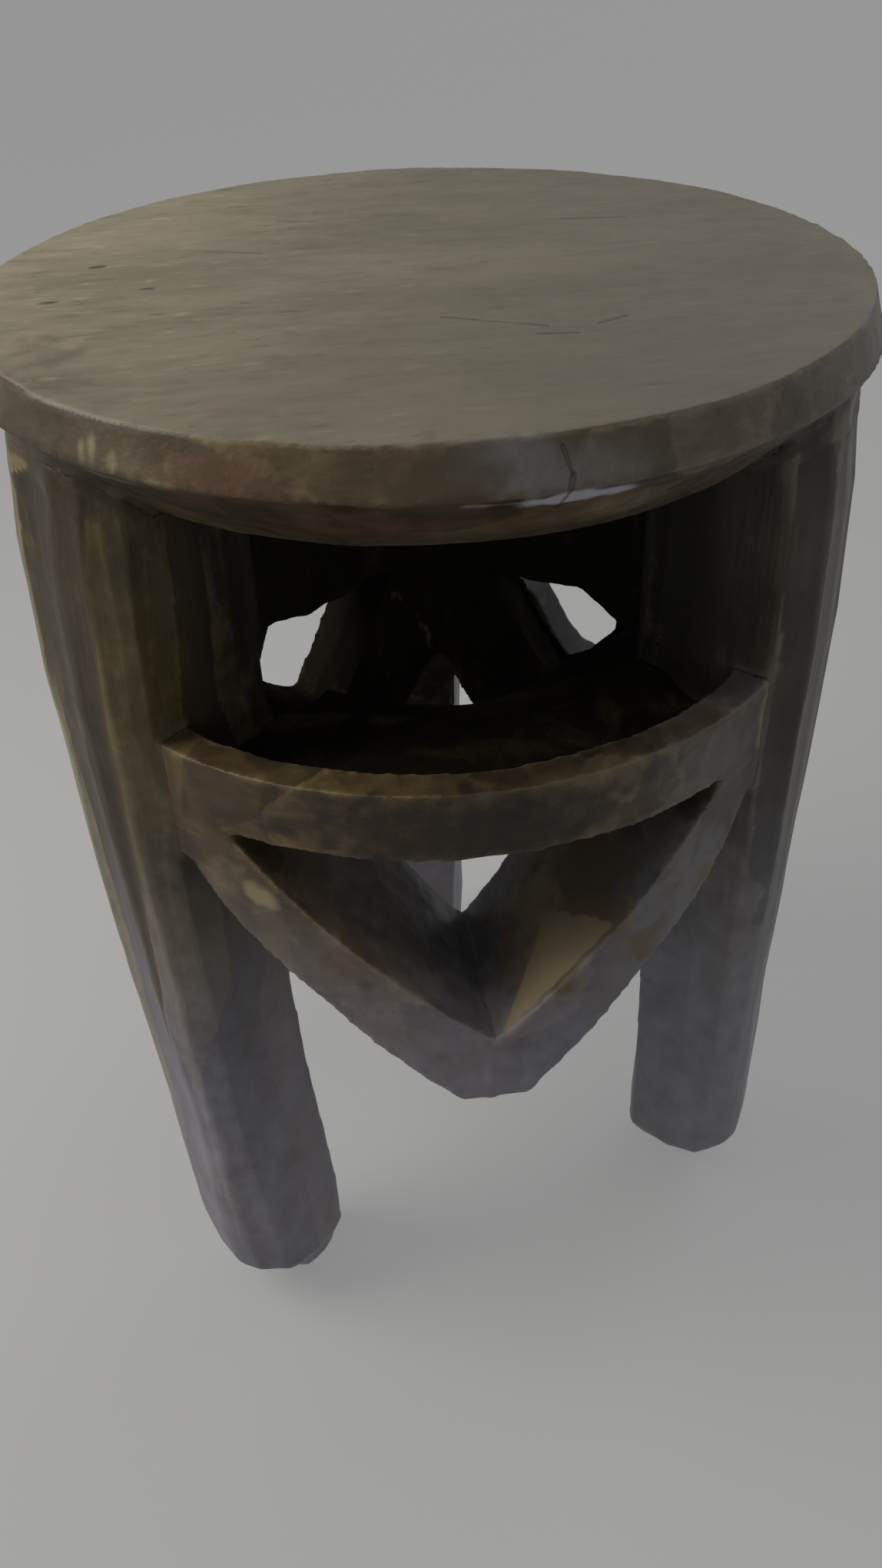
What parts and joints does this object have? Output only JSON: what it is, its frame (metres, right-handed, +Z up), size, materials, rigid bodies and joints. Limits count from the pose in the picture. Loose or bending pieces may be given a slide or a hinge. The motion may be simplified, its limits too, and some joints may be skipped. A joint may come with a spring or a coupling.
{
  "type": "carved stool",
  "caption": "Round-seated three-legged stool carved from one dark wood block, with curved bands and three-cornered baskets between the legs and an open core.",
  "frame": {"origin": "on the floor, under the centre of the seat", "axes": "+Z up from the floor through the seat's centre; the front bay looks along -Y, the back leg stands towards +Y"},
  "size_m": [0.309, 0.309, 0.432],
  "materials": {
    "seat_wood": "hand-worn, satin",
    "leg_wood": "tool-faceted, satin",
    "band_wood": "tool-faceted, satin",
    "inner_wood": "rough gouged, matte"
  },
  "bodies": {
    "root": {"seat": "seat_wood", "centre_hub": "inner_wood", "left_leg": "leg_wood", "right_leg": "leg_wood", "back_leg": "leg_wood", "left_rib": "inner_wood", "right_rib": "inner_wood", "back_rib": "inner_wood", "left_strut": "inner_wood", "right_strut": "inner_wood", "back_strut": "inner_wood", "front_rim_band": "band_wood", "right_rim_band": "band_wood", "left_rim_band": "band_wood", "front_shelf": "inner_wood", "right_shelf": "inner_wood", "left_shelf": "inner_wood", "front_basket_left_wall": "band_wood", "front_basket_right_wall": "band_wood", "right_basket_left_wall": "band_wood", "right_basket_right_wall": "band_wood", "left_basket_left_wall": "band_wood", "left_basket_right_wall": "band_wood"}
  },
  "joints": []
}
